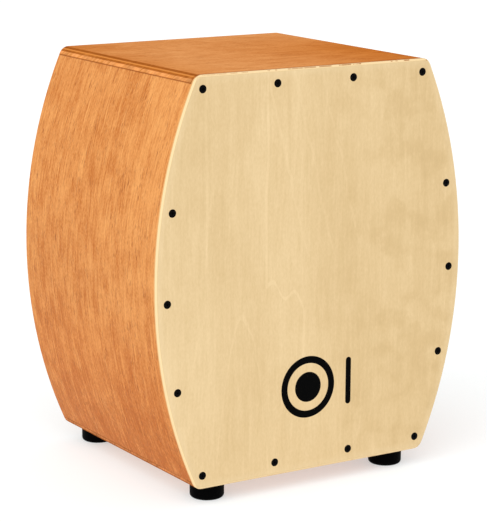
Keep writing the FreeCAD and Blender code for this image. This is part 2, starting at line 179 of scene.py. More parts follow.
def rim_depth(g):
    """How far a point lies inside the front outline, in millimetres."""
    ends = g.maths(
        "MINIMUM", g.maths("SUBTRACT", BODY_HIGH, g.z), g.maths("SUBTRACT", g.z, BODY_LOW)
    )
    return g.maths("MINIMUM", ends, bow_depth(g))


# ---------------------------------------------------------------- woods


# A noise's SIZE is the width and length of its grains in millimetres, and its CUT is the pair of
# values that it is softly cut between. A DRIFT is how far fibres wander sideways, in millimetres.
DRIFT_SIZE = (45, 120)
VENEER_DRIFT, BIRCH_DRIFT = 12, 10


def stretched(g, across, along, width, length, offset, detail=2.0):
    """Noise whose grains are about width by length millimetres. Each offset gives another noise."""
    x = g.maths("DIVIDE", across, width)
    y = g.maths("DIVIDE", along, length)
    return g.noise(g.joined(x, y, offset), detail)


def layered(g, across, along, layers, seed, step):
    """One noise for each (width, length, detail, weight), each as (noise, weight)."""
    noises = []
    for index, (width, length, detail, weight) in enumerate(layers):
        noise = stretched(g, across, along, width, length, seed + step * index, detail)
        noises.append((noise, weight))
    return noises


def wandering(g, across, along, seed, amount):
    """The position across the grain, pushed sideways so that the fibres drift a little."""
    sway = stretched(g, across, along, *DRIFT_SIZE, seed + 9.1)
    return g.maths("MULTIPLY_ADD", g.maths("SUBTRACT", sway, 0.5), amount, across)


# The stained veneer's figure: width, length, detail and weight of each layer.
VENEER_LAYERS = (
    (70, 240, 1.0, 0.38),
    (30, 46, 2.0, 0.42),
    (9, 110, 2.0, 0.34),
    (14, 24, 3.0, 0.58),
    (3.2, 60, 2.0, 0.46),
    (1.2, 24, 2.0, 1.00),
    (1.3, 3.2, 2.0, 0.85),
)

VENEER_TONES = (0.50, 1.50)
STREAK_SIZE, STREAK_CUT = (4.5, 55), (0.60, 0.78)
PORE_SIZE, PORE_CUT = (1.1, 10), (0.61, 0.70)
PATCH_SIZE, PATCH_CUT = (18, 46), (0.40, 0.60)
STREAK_AMOUNT, PORE_AMOUNT = 0.40, 0.75
PORE_DEPTH = 0.00010
SATIN_ROUGHNESS = 0.52
SPECK_SIZE = (2.2, 4.0)
SPECK_LOW, SPECK_HIGH = 0.55, 0.12
WORN_EDGE = (0.3, 2.4)
GLUE_WIDTH = 0.6
END_DEEPER, END_CONTRAST = -0.10, 0.62
# Painted shade on the sides low down, and a painted sheen at their front.
LOW_SHADE, FRONT_SHEEN = 0.20, 0.16
SIDE_JOINTS = (1.4, 3.6, 5.4, 7.6)
BACK_JOINT = 1.2
VENEER_DEPTH = (7.6, 8.4)

STAIN_LIGHT = (0.722, 0.314, 0.091)
STAIN_DARK = (0.450, 0.124, 0.015)
STREAK = (0.780, 0.380, 0.125)
PORE = (0.25, 0.058, 0.007)
GLUE_LINE = (0.26, 0.066, 0.010)
PLY_DARK = (0.24, 0.058, 0.006)
PLY_BROWN = (0.38, 0.105, 0.013)
PLY_WARM = (0.60, 0.215, 0.045)
PLY_PALE = (0.630, 0.254, 0.082)
# The bottom board's plies: the seat's ply colours darkened as painted shade, for ends that face the
# floor.
PLY_WARM_SHADED = (0.48, 0.172, 0.058)
PLY_PALE_SHADED = (0.55, 0.208, 0.076)
# A painted sheen in the middle of the end boards, and painted shade towards their ends.
SEAT_SHEEN_TINT = (1.03, 1.07, 1.32)
SEAT_SHADE_TINT = (0.82, 0.615, 0.335)
# Painted shade: a warm, darker tint over the lower part of the sides.
SIDE_SHADE_TINT = (1.02, 0.95, 0.86)
RAW_PLY = (0.55, 0.35, 0.175)


def orange_veneer(g, across, along, seed, deeper=0.0, contrast=1.0):
    """The stained veneer's colour, a height for its bumps and its fine fibre. Deeper is how much darker
    the colour is made where the point lies; on the sides it is painted shade low down less a painted
    sheen at the front."""
    across = wandering(g, across, along, seed, VENEER_DRIFT)
    layers = layered(g, across, along, VENEER_LAYERS, seed, 1.7)
    tone = g.total(*((noise, weight * contrast) for noise, weight in layers))
    tone = g.band(g.maths("SUBTRACT", tone, deeper), *VENEER_TONES)
    colour = g.mix(tone, STAIN_DARK, STAIN_LIGHT)
    pale = g.band(stretched(g, across, along, *STREAK_SIZE, seed + 3.1, 1.0), *STREAK_CUT)
    colour = over(g, pale, colour, STREAK, STREAK_AMOUNT * contrast)
    dashes = g.band(stretched(g, across, along, *PORE_SIZE, seed + 4.3, 1.0), *PORE_CUT)
    patches = g.band(stretched(g, across, along, *PATCH_SIZE, seed + 5.8), *PATCH_CUT, 0.10, 1.0)
    pores = g.maths("MULTIPLY", dashes, patches)
    colour = over(g, pores, colour, PORE, PORE_AMOUNT * contrast)
    fibre = layers[-2][0]
    height = g.maths("MULTIPLY_ADD", pores, -1.0, g.maths("MULTIPLY", fibre, 0.5))
    return colour, height, fibre


def satin(g, colour, height, fibre, shine=0.10):
    """A thin satin varnish that lets the pores show."""
    g.bump(height, PORE_DEPTH)
    rough = g.maths("MULTIPLY", g.total((fibre, 0.35)), SATIN_ROUGHNESS)
    return g.finish(colour, rough, Specular_IOR_Level=shine)


def over(g, share, base, layer, amount=1.0):
    """Lays a layer over a base where the mask is one."""
    return g.mix(g.maths("MULTIPLY", share, amount), base, layer)


def between(g, value, low, high, soft=0.15):
    """A mask that is one from low to high."""
    rise = g.band(value, low - soft, low + soft)
    return g.maths("MULTIPLY", rise, g.band(value, high - soft, high + soft, 1.0, 0.0))


def rubbed(g, colour, away):
    """Stain worn thin in patches along an edge, from the distance to the edge in millimetres."""
    patchy = g.band(g.cloud(0.11), 0.38, 0.62, 0.1, 0.7)
    worn = g.maths("MULTIPLY", g.band(away, *WORN_EDGE, 1.0, 0.0), patchy)
    return over(g, worn, colour, STREAK)


def raw_ply(g, fibre):
    """Unstained plywood."""
    return g.tinted(RAW_PLY, g.total((fibre, 0.5)))


def inner_mask(g):
    """One where a point lies further in than the side panels."""
    return g.band(bow_depth(g), PANEL - 0.2, PANEL)


def cut_plies(g, depth, seed, joints):
    """The cut edge of plywood: flecked plies, every other one darker, between thin glue lines."""
    fleck = g.noise(g.vector("SCALE", g.joined(g.x, g.z, seed), scale=0.45), detail=3.0)
    colour = g.mix(g.band(fleck, 0.30, 0.65), PLY_BROWN, PLY_WARM)
    light = g.mix(g.band(fleck, 0.25, 0.60), PLY_WARM, PLY_PALE)
    for start, end in zip(joints[0::2], joints[1::2]):
        colour = over(g, between(g, depth, start, end), colour, light)
    for joint in joints:
        colour = over(g, g.line(depth, joint, GLUE_WIDTH), colour, GLUE_LINE, 0.7)
    return colour


def side_veneer(g, seed):
    """The sides' veneer: its grain upright, lighter at the front above the middle by a painted sheen,
    and darker and warmer towards the floor by painted shade, where small specks show."""
    # Painted shade deepens the colour low down, and a painted sheen lightens it at the front above the
    # middle.
    low_down = g.band(g.z, BODY_LOW, MIDDLE_HEIGHT, LOW_SHADE, 0.0)
    forward = g.band(g.y, BODY_FRONT, 0.0, FRONT_SHEEN, 0.0)
    higher = g.band(g.z, BODY_LOW + 90, MIDDLE_HEIGHT)
    deeper = g.maths("SUBTRACT", low_down, g.maths("MULTIPLY", forward, higher))
    colour, height, fibre = orange_veneer(g, g.y, g.z, seed, deeper)
    # Painted shade: a warmer, darker tint over the lower part of the side.
    tint = g.mix(g.band(g.z, BODY_LOW + 100, MIDDLE_HEIGHT), SIDE_SHADE_TINT, (1.0, 1.0, 1.0))
    colour = g.mix(1.0, colour, tint, "MULTIPLY")
    speck = stretched(g, g.y, g.z, *SPECK_SIZE, seed + 9.4)
    uneven = g.band(g.z, BODY_LOW + 20, BODY_LOW + 150, SPECK_LOW, SPECK_HIGH)
    return g.tinted(colour, g.total((speck, uneven))), height, fibre


def side_wood(name, seed):
    """Bowed side: stained veneer outside, raw ply inside, and its plies bare on the rear edge."""
    g = Graph(name)
    colour, height, fibre = side_veneer(g, seed)
    depth = bow_depth(g)
    colour = over(g, g.band(depth, *VENEER_DEPTH), colour, raw_ply(g, fibre))
    colour = rubbed(g, colour, g.maths("SUBTRACT", BODY_REAR, g.y))
    rear = g.band(g.y, BODY_REAR - 0.30, BODY_REAR - 0.05)
    colour = over(g, rear, colour, cut_plies(g, depth, seed, SIDE_JOINTS))
    # Glue darkens the joints with the seat and the bottom board.
    high_joint, low_joint = BODY_HIGH - PANEL, BODY_LOW + PANEL
    top = g.band(g.z, high_joint - 0.9, high_joint - 0.3)
    bottom = g.band(g.z, low_joint + 0.3, low_joint + 0.9, 0.7, 0.0)
    colour = over(g, g.maths("MAXIMUM", top, bottom), colour, GLUE_LINE, 0.50)
    return satin(g, colour, height, fibre)


# The places, in millimetres, between which an end board's painted shade deepens or its painted sheen
# lightens.
RIGHT_ACROSS, RIGHT_DEEP = (-90, 190), (-43, 165)
LEFT_ACROSS, REAR_ACROSS, REAR_DEEP = (-220, -80), (-220, -20), (20, 120)


def painted_shade_at_ends(g):
    """How far an end board's painted sheen gives way to painted shade: darker towards both ends, on the
    right most at the front and on the left most at the back."""
    right = g.maths("MULTIPLY", g.band(g.x, *RIGHT_ACROSS), g.band(g.y, *RIGHT_DEEP, 1.0, 0.0))
    rear = g.maths("MULTIPLY", g.band(g.x, *REAR_ACROSS, 1.0, 0.0), g.band(g.y, *REAR_DEEP))
    left = g.maths("MAXIMUM", rear, g.band(g.x, *LEFT_ACROSS, 1.0, 0.0))
    return g.maths("MAXIMUM", left, right)


def ply_mask(g, depth, start, end):
    """A mask that rises over the range start of the depth and falls over the range end."""
    return g.maths("MULTIPLY", g.band(depth, *start), g.band(depth, *end, 1.0, 0.0))


# An end board's plies: the depths that each one starts and ends between, from the outer face.
UPPER_PLY_START, UPPER_PLY_END = (0.02, 0.50), (1.4, 2.1)
WARM_PLY_START = (1.6, 2.1)
LOWER_PLY_START, LOWER_PLY_END = (2.4, 3.2), (4.4, 5.2)
PALE_PLY_START = (3.8, 4.4)
PLY_SLANT = 1.2
PLY_FLECK_SIZE, PLY_WORN_SIZE = (2.4, 9), (16, 9)


def end_plies(g, colour, depth, worn, seed, warm_ply, pale_ply):
    """Bares an end board's plies on its rounded ends: dark, warm, dark and pale going in."""
    slanted = g.maths("MULTIPLY_ADD", g.z, PLY_SLANT, g.y)
    fleck = stretched(g, slanted, g.z, *PLY_FLECK_SIZE, seed + 2.2, 3.0)
    dark = g.mix(g.band(fleck, 0.35, 0.70), PLY_DARK, PLY_BROWN)
    pale = g.mix(g.band(fleck, 0.25, 0.60), warm_ply, pale_ply)
    pale = g.tinted(pale, g.total((worn, 1.3), (fleck, 0.9)))
    colour = over(g, g.band(depth, *WARM_PLY_START), colour, warm_ply)
    colour = over(g, g.band(depth, *PALE_PLY_START), colour, pale)
    colour = over(g, ply_mask(g, depth, UPPER_PLY_START, UPPER_PLY_END), colour, dark, 0.9)
    lower = ply_mask(g, depth, LOWER_PLY_START, LOWER_PLY_END)
    return over(g, lower, colour, dark, g.band(worn, 0.30, 0.55, 0.45, 0.85))


def end_board(name, seed, outer_face, warm_ply, pale_ply, glue):
    """Seat or bottom board: stained veneer on its face under a painted sheen and painted shade, its
    plies bare on the rounded ends, and raw ply inside. Glue is how dark the joint with the sides is."""
    g = Graph(name)
    colour, height, fibre = orange_veneer(g, g.y, g.x, seed, END_DEEPER, END_CONTRAST)
    # Painted sheen: paler and bluer in the middle; painted shade: darker and redder towards the ends.
    colour = g.mix(1.0, colour, g.mix(painted_shade_at_ends(g), SEAT_SHEEN_TINT, SEAT_SHADE_TINT), "MULTIPLY")
    colour = rubbed(g, colour, g.maths("SUBTRACT", BODY_REAR, g.y))
    depth = g.maths("ABSOLUTE", g.maths("SUBTRACT", g.z, outer_face))
    worn = stretched(g, g.y, g.z, *PLY_WORN_SIZE, seed + 6.6)
    colour = end_plies(g, colour, depth, worn, seed, warm_ply, pale_ply)
    colour = over(g, g.band(depth, PANEL - 1.4, PANEL - 0.4), colour, GLUE_LINE, glue)
    # Stain gathers along the joint with the front plate.
    joint = g.band(g.y, BODY_FRONT + 3, BODY_FRONT + 9, 1.0, 0.0)
    colour = over(g, joint, colour, PLY_DARK, g.band(worn, 0.30, 0.60, 0.35, 0.75))
    # The inside is the inner face, as far out as the side panels.
    inside = g.maths("MULTIPLY", g.band(depth, PANEL - 0.06, PANEL - 0.02), inner_mask(g))
    colour = over(g, inside, colour, raw_ply(g, fibre))
    return satin(g, colour, height, fibre, 0.0)


# The birch plate's figure, as for the veneer.
BIRCH_LAYERS = (
    (80, 260, 1.0, 0.10),
    (12, 170, 2.0, 0.060),
    (17, 26, 2.0, 0.045),
    (3.0, 44, 2.0, 0.070),
    (1.7, 4.2, 2.0, 0.086),
)
BIRCH_LIGHT = (0.705, 0.530, 0.300)
BIRCH_DARK = (0.640, 0.450, 0.220)
BIRCH_PALE = (0.750, 0.580, 0.345)
BIRCH_BEVEL = (0.800, 0.600, 0.330)
BIRCH_EDGE = (0.640, 0.320, 0.100)
BIRCH_END_GRAIN = (0.34, 0.115, 0.022)
BIRCH_RIDGE = (0.62, 0.43, 0.19)
BIRCH_RINGS = 6
FIELD_SIZE, RING_EDGE_SIZE = (52, 330), (7, 34)
FIGURED_SIZE, BLOTCH_SIZE, WOBBLE_SIZE = (70, 160), (34, 30), (14, 30)
WOBBLE = 8.0
BIRCH_TONES = (0.90, 1.10)
RING_PALER, RING_DARKER, LINE_PALER = 0.012, 0.014, 0.036
# Painted shade on the plate: darker towards its right and its top.
BLOTCH_DARKER, RIGHT_SHADE, TOP_SHADE = 0.05, 0.018, 0.008

# One pale line of the figure runs down the plate and steps sideways; low on the left the rings
# close over in a pointed arch. Places are millimetres in the row frame.
LINE_WIDTH = 4.0
STEP_HIGH, STEP_LOW = 241, 205
STEP_FROM, STEP_TO = -60, -13
STEP_MIDDLE, STEP_WAVE, STEP_SWING = -45, 28, 6.0
UPRIGHT_X = -137
ARCH_X, ARCH_TOP, ARCH_SPACING = -91, 204, 90
ARCH_BEND = 0.16
SLANT, SLANT_SPACING = 0.26, 35


def growth_rings(g, across, along, seed):
    """The figure of a sheet peeled off a log: each ring darkens slowly, has a thin pale line half
    way, and runs upright or closes over in a long arch. Gives the dark and the pale."""
    field = stretched(g, across, along, *FIELD_SIZE, seed, 1.0)
    rough = stretched(g, across, along, *RING_EDGE_SIZE, seed + 2.0)
    count = g.maths("MULTIPLY_ADD", rough, 0.22, g.maths("MULTIPLY", field, BIRCH_RINGS))
    part = g.maths("FRACT", count)
    return part, g.line(part, 0.5, 0.16)


def straight_lines(g, across, wobble):
    """The pale line with its sideways step, a paler strip along its left, and a plain pale line
    nearer the edge."""
    turn = g.maths("MULTIPLY", g.maths("SUBTRACT", g.x, STEP_MIDDLE), 2 * math.pi / STEP_WAVE)
    level = g.maths("ADD", g.z, wobble)
    height = g.maths("MULTIPLY_ADD", g.maths("SINE", turn), STEP_SWING, level)
    place = g.band(height, STEP_LOW, STEP_HIGH, STEP_TO, STEP_FROM)
    off = g.maths("SUBTRACT", across, place)
    stepping = between(g, height, STEP_LOW + 4, STEP_HIGH - 4, 4)
    wider = g.maths("MULTIPLY_ADD", stepping, -0.6, 1.0)
    thin = g.line(g.maths("MULTIPLY", off, wider), 0.0, LINE_WIDTH)
    strip = g.maths("MULTIPLY", g.band(off, -20, -8), g.band(off, -4, 0, 1.0, 0.0))
    strip = g.maths("MULTIPLY", strip, g.band(g.z, STEP_LOW, STEP_HIGH + 40, 0.0, 0.5))
    stepped = g.maths("MULTIPLY", g.maths("MAXIMUM", thin, strip), g.band(g.z, 130, 170))
    plain = g.line(g.maths("SUBTRACT", across, UPRIGHT_X), 0.0, LINE_WIDTH)
    plain = g.maths("MULTIPLY", plain, g.band(g.z, 230, 300, 0.0, 0.7))
    return g.maths("MAXIMUM", stepped, plain)


def arched_lines(g, across, wobble):
    """Pointed arches low on the left, and slanting lines above the middle."""
    aside = g.maths("SUBTRACT", across, ARCH_X)
    reach = g.maths("MULTIPLY_ADD", g.maths("MULTIPLY", aside, aside), ARCH_BEND, g.z)
    reach = g.maths("ADD", reach, g.maths("MULTIPLY", wobble, 3.0))
    below = g.maths("SUBTRACT", ARCH_TOP + ARCH_SPACING / 2, reach)
    arch = g.maths("FRACT", g.maths("DIVIDE", below, ARCH_SPACING))
    top_only = g.maths("MULTIPLY", between(g, reach, 150, ARCH_TOP + 8, 12), 0.7)
    arch = g.maths("MULTIPLY", g.line(arch, 0.5, 0.13), top_only)
    slanted = g.maths("MULTIPLY_ADD", g.z, SLANT, g.maths("ADD", across, wobble))
    slant = g.line(g.maths("FRACT", g.maths("DIVIDE", slanted, SLANT_SPACING)), 0.69, 0.11)
    where = g.maths("MULTIPLY", g.band(g.z, 240, 290, 0.0, 0.5), between(g, slanted, 50, 140, 8))
    return g.maths("MAXIMUM", arch, g.maths("MULTIPLY", slant, where))


def birch_face(g, seed):
    """Birch with a faint upright figure, painted shade making it a little darker towards its right edge
    and its top, and its fibre.
    """
    across = wandering(g, g.x, g.z, seed, BIRCH_DRIFT)
    layers = layered(g, across, g.z, BIRCH_LAYERS, seed, 1.3)
    dark, pale = growth_rings(g, across, g.z, 52.4)
    figured = g.band(stretched(g, across, g.z, *FIGURED_SIZE, 57.1), 0.40, 0.60, 0.25, 1.0)
    wobble = stretched(g, g.x, g.z, *WOBBLE_SIZE, 60.3)
    wobble = g.maths("MULTIPLY_ADD", wobble, WOBBLE, -WOBBLE / 2)
    drawn = g.maths("MAXIMUM", straight_lines(g, across, wobble), arched_lines(g, across, wobble))
    tone = g.total(*layers)
    tone = g.maths("MULTIPLY_ADD", g.maths("MULTIPLY", pale, figured), RING_PALER, tone)
    tone = g.maths("MULTIPLY_ADD", g.maths("MULTIPLY", dark, figured), -RING_DARKER, tone)
    tone = g.maths("MULTIPLY_ADD", drawn, LINE_PALER, tone)
    blotch = g.band(stretched(g, g.x, g.z, *BLOTCH_SIZE, 66.6, 3.0), 0.45, 0.70)
    tone = g.maths("MULTIPLY_ADD", blotch, g.band(g.x, -20, 110, 0.0, -BLOTCH_DARKER), tone)
    # Painted shade: darker towards the right, and slightly darker towards the top.
    tone = g.maths("MULTIPLY_ADD", g.x, -RIGHT_SHADE / HALF_WIDTH, tone)
    tone = g.maths("SUBTRACT", tone, g.band(g.z, BODY_LOW, BODY_HIGH, 0.0, TOP_SHADE))
    colour = g.mix(g.band(tone, *BIRCH_TONES), BIRCH_DARK, BIRCH_LIGHT)
    return g.tinted(colour, tone), layers[3][0]


# The plate's edge, in millimetres: its side starts behind the front face, the spots lie on the
# bevel, and the bevel, its ridge and the end grain lie inwards from the outline.
EDGE_START = (1.05, 1.35)
BEVEL_END, RIDGE = (2.1, 2.4), 2.6
CROSS_PLY_END, SPOT_DEPTH = (2.6, 3.0), (0.45, 1.05)
END_FLECK_SIZE = (8, 60)
BIRCH_RELIEF = 0.00004
LACQUER_ROUGHNESS = 0.5


def end_grain(g, depth, edge):
    """Where the plate's middle ply, which runs crossways, shows flecks of end grain: along the top,
    most on the right, and more faintly along the bottom."""
    above = g.maths("SUBTRACT", g.z, MIDDLE_HEIGHT)
    ends = g.maths("SUBTRACT", HALF_HEIGHT, g.maths("ABSOLUTE", above))
    crossways = g.band(ends, *CROSS_PLY_END, 1.0, 0.0)
    fleck = stretched(g, g.x, g.z, *END_FLECK_SIZE, 7.7)
    share = g.maths("MULTIPLY", g.band(g.x, -150, 90, 0.25, 0.85), g.band(above, -1, 1, 0.25, 1.0))
    spots = g.band(fleck, 0.51, 0.60, 0.0, share)
    spots = g.maths("MULTIPLY", between(g, depth, *SPOT_DEPTH, 0.1), spots)
    core = g.maths("MULTIPLY", edge, g.band(fleck, 0.30, 0.55, 0.55, 0.95))
    return g.maths("MULTIPLY", g.maths("MAXIMUM", core, spots), crossways)


def birch_plate():
    """Front plate: clear-lacquered birch with a sanded bevel, stained round its narrow edge."""
    g = Graph("plate_birch")
    colour, fibre = birch_face(g, 41.0)
    rim = rim_depth(g)
    depth = g.maths("SUBTRACT", g.y, BODY_FRONT)
    colour = over(g, g.band(rim, 2.0, 12.0, 1.0, 0.0), colour, BIRCH_PALE, 0.30)
    colour = over(g, g.band(rim, *BEVEL_END, 1.0, 0.0), colour, BIRCH_BEVEL, 0.8)
    colour = over(g, g.line(rim, RIDGE, 0.9), colour, BIRCH_RIDGE, 0.35)
    edge = g.band(depth, *EDGE_START)
    colour = over(g, edge, colour, BIRCH_EDGE, 0.9)
    colour = over(g, end_grain(g, depth, edge), colour, BIRCH_END_GRAIN)
    g.bump(fibre, BIRCH_RELIEF)
    rough = g.maths("MULTIPLY", g.total((fibre, 0.25)), LACQUER_ROUGHNESS)
    return g.finish(colour, rough, Specular_IOR_Level=0.2, Coat_Weight=0.04, Coat_Roughness=0.3)


def back_wood():
    """Back board: stained outside with its grain upright, raw inside, its plies bare in the hole."""
    g = Graph("back_plywood")
    colour, height, fibre = orange_veneer(g, g.x, g.z, 63.0)
    low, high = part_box("back_panel")
    depth = g.maths("SUBTRACT", high.y / MM, g.y)
    thick = (high.y - low.y) / MM
    inside = g.band(depth, thick - BACK_JOINT, thick - BACK_JOINT + 0.2)
    colour = over(g, inside, colour, raw_ply(g, fibre))
    from_hole = g.vector("LENGTH", g.joined(g.x, 0.0, g.maths("SUBTRACT", g.z, HOLE_HEIGHT)))
    colour = rubbed(g, colour, g.maths("SUBTRACT", from_hole, HOLE_RADIUS))
    wall = g.band(from_hole, HOLE_RADIUS + 0.05, HOLE_RADIUS + 0.3, 1.0, 0.0)
    joints = (BACK_JOINT, thick - BACK_JOINT)
    colour = over(g, wall, colour, cut_plies(g, depth, 71.0, joints))
    return satin(g, colour, height, fibre)


PINE_EARLY, PINE_LATE = (0.76, 0.57, 0.33), (0.56, 0.33, 0.14)
PINE_RING = 3.4
PINE_RELIEF, PINE_ROUGHNESS = 0.00015, 0.72
PINE_BEND_SIZE, PINE_FIBRE_SIZE, PINE_BLOTCH_SIZE = (20, 160), (0.8, 22), (9, 30)


def pine(name, across, along, seed):
    """Raw softwood batten with narrow growth rings along its length."""
    g = Graph(name)
    axes = {"x": g.x, "y": g.y, "z": g.z}
    position, length = axes[across], axes[along]
    bend = stretched(g, position, length, *PINE_BEND_SIZE, seed)
    turn = g.maths("MULTIPLY", position, 2 * math.pi / PINE_RING)
    rings = g.maths("MULTIPLY_ADD", bend, 14.0, turn)
    colour = g.mix(g.band(g.maths("SINE", rings), -0.2, 1.0), PINE_EARLY, PINE_LATE)
    fibre = stretched(g, position, length, *PINE_FIBRE_SIZE, seed + 1.1, 3.0)
    blotch = stretched(g, position, length, *PINE_BLOTCH_SIZE, seed + 2.3)
    colour = g.tinted(colour, g.total((fibre, 0.45), (blotch, 0.3)))
    g.bump(fibre, PINE_RELIEF)
    rough = g.maths("MULTIPLY", g.total((fibre, 0.2)), PINE_ROUGHNESS)
    return g.finish(colour, rough, Specular_IOR_Level=0.25)


# ---------------------------------------------------------------- rubber, metal and ink


PIT_DEPTH, FINE_RELIEF = 0.00008, 0.00003
RUBBER_ROUGHNESS, OXIDE_ROUGHNESS, INK_ROUGHNESS = 0.55, 0.34, 0.5
RUBBER_BLACK, DUST = (0.0006, 0.0006, 0.0007), (0.012, 0.0115, 0.011)
DUST_HEIGHT, DUST_AMOUNT = 5.0, 0.3
OXIDE_DARK, OXIDE_LIGHT = (0.0005, 0.0005, 0.0006), (0.003, 0.003, 0.0032)
OXIDE_RUBBED = (0.004, 0.004, 0.0045)
INK_DARK, INK_LIGHT = (0.0004, 0.0004, 0.0005), (0.0018, 0.0018, 0.0018)
INK_FIBRE_SIZE = (0.8, 22)
DRAWN_LINE, DRAWN_STEP = 3, 0.4


def rubber():
    """Moulded black rubber: fine pits, dusty towards the floor."""
    g = Graph("foot_rubber")
    pits, smear = g.cloud(1.6), g.cloud(0.09, 2.0)
    low_down = g.band(g.z, 0.0, DUST_HEIGHT, 1.0, 0.0)
    dust = g.maths("MULTIPLY", low_down, g.band(smear, 0.4, 0.7))
    colour = g.mix(g.maths("MULTIPLY", dust, DUST_AMOUNT), RUBBER_BLACK, DUST)
    g.bump(pits, PIT_DEPTH)
    roughness = g.maths("MULTIPLY", g.total((pits, 0.25), (smear, 0.3)), RUBBER_ROUGHNESS)
    return g.finish(colour, roughness, Specular_IOR_Level=0.02)


def painted_screw():
    """Black oxide screw: satin, rubbed greyer where its head stands proud."""
    g = Graph("black_screw")
    cloud = g.cloud(0.8)
    colour = g.mix(cloud, OXIDE_DARK, OXIDE_LIGHT)
    proud = g.maths("SUBTRACT", g.maths("ABSOLUTE", g.y), BODY_REAR)
    colour = over(g, g.band(proud, 0.2, 0.6), colour, OXIDE_RUBBED, cloud)
    g.bump(cloud, FINE_RELIEF)
    roughness = g.maths("MULTIPLY", g.total((cloud, 0.5)), OXIDE_ROUGHNESS)
    return g.finish(colour, roughness, Specular_IOR_Level=0.025)


def plated(name, bright, dull, roughness):
    """Plated or bare metal with faint drawn lines and a patchy tarnish."""
    g = Graph(name)
    x, y = g.maths("DIVIDE", g.x, DRAWN_LINE), g.maths("DIVIDE", g.y, DRAWN_LINE)
    lines = g.noise(g.joined(x, y, g.maths("DIVIDE", g.z, DRAWN_STEP)), 3.0)
    patch = g.cloud(0.22)
    colour = g.mix(g.band(patch, 0.35, 0.75), bright, dull)
    g.bump(lines, FINE_RELIEF)
    rough = g.maths("MULTIPLY", g.total((patch, 0.6), (lines, 0.3)), roughness)
    return g.finish(colour, rough, Metallic=1.0)


def ink():
    """Screen-printed black: a thin even film, slightly duller where the grain shows through."""
    g = Graph("printed_ink")
    width, length = INK_FIBRE_SIZE
    x, z = g.maths("DIVIDE", g.x, width), g.maths("DIVIDE", g.z, length)
    fibre = g.noise(g.joined(x, 0.0, z), 3.0)
    colour = g.mix(fibre, INK_DARK, INK_LIGHT)
    g.bump(fibre, FINE_RELIEF)
    rough = g.maths("MULTIPLY", g.total((fibre, 0.4)), INK_ROUGHNESS)
    return g.finish(colour, rough, Specular_IOR_Level=0.02)


def give(material, *names):
    """Makes this the only material of each CAD node named."""
    for name in names:
        nodes[name].data.materials.clear()
        nodes[name].data.materials.append(material)


give(end_board("seat_wood", 3.0, BODY_HIGH, PLY_WARM, PLY_PALE, 0.75), "top_panel")
# The bottom board's darker plies are painted shade.
give(end_board("bottom_wood", 17.0, BODY_LOW, PLY_WARM_SHADED, PLY_PALE_SHADED, 0.45), "bottom_panel")
give(side_wood("side_wood_left", 8.0), "left_side_panel")
give(side_wood("side_wood_right", 29.0), "right_side_panel")
give(birch_plate(), "front_plate")
give(back_wood(), "back_panel")
give(painted_screw(), "front_plate_screws", "back_panel_screws")
give(rubber(), "foot_front_left", "foot_front_right", "foot_rear_left", "foot_rear_right")
upright_battens = [end + "_frame_" + side for end in ("front", "back") for side in ("left", "right")]
level_battens = [end + "_frame_" + side for end in ("front", "back") for side in ("top", "bottom")]
give(pine("batten_upright", "y", "z", 5.0), *upright_battens)
give(pine("batten_level", "y", "x", 11.0), *level_battens)
give(pine("rail_pine", "z", "x", 23.0), "snare_rail", "snare_block_left", "snare_block_right")
zinc = plated("zinc_steel", (0.62, 0.62, 0.63), (0.45, 0.45, 0.47), 0.34)
give(zinc, "foot_washers", "foot_screws", "snare_screws")
brass = plated("snare_brass", (0.72, 0.53, 0.24), (0.50, 0.34, 0.13), 0.28)
give(brass, "snare_clip_left", "snare_clip_right")


# ---------------------------------------------------------------- snare coils


def new_piece(name, verts, faces, material):
    """A mesh made here, which rides on the root body."""
    mesh = bpy.data.meshes.new(name)
    mesh.from_pydata(verts, [], faces)
    mesh.update()
    piece = bpy.data.objects.new(name, mesh)
    bpy.context.scene.collection.objects.link(piece)
    mesh.materials.append(material)
    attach(piece, "root")
    return piece


def tube(verts, faces, path, radius, sides):
    """Adds a closed tube along a path of points."""
    first = len(verts)
    side = Vector((1, 0, 0))
    for index, point in enumerate(path):
        ahead = path[min(index + 1, len(path) - 1)] - path[max(index - 1, 0)]
        ahead.normalize()
        side = (side - ahead * side.dot(ahead)).normalized()
        other = ahead.cross(side)
        for step in range(sides):
            angle = 2 * math.pi * step / sides
            verts.append(point + (side * math.cos(angle) + other * math.sin(angle)) * radius)
    for ring in range(len(path) - 1):
        for step in range(sides):
            a, b = ring * sides + step, ring * sides + (step + 1) % sides
            faces.append([first + i for i in (a, b, b + sides, a + sides)])
    faces.append([first + i for i in reversed(range(sides))])
    last = first + (len(path) - 1) * sides
    faces.append([last + i for i in range(sides)])


# The coils: how many, the radii of a coil and of its wire, the advance for each turn, and how
# finely they are built.
COILS = 10
COIL_RADIUS, WIRE_RADIUS, COIL_PITCH = 0.9 * MM, 0.24 * MM, 1.05 * MM
STEPS_PER_TURN, WIRE_SIDES = 9, 5


def coil_path(root, tip, start):
    """Points along a coil's wire from the root to the tip, its first turn begun at an angle."""
    axis = (tip - root).normalized()
    across = Vector((1, 0, 0))
    other = axis.cross(across)
    turns = (tip - root).length / COIL_PITCH
    steps = int(turns * STEPS_PER_TURN)
    path = []
    for step in range(steps + 1):
        angle = 2 * math.pi * (turns * step / steps) + start
        around = across * math.cos(angle) + other * math.sin(angle)
        path.append(root.lerp(tip, step / steps) + around * (COIL_RADIUS - WIRE_RADIUS))
    return path


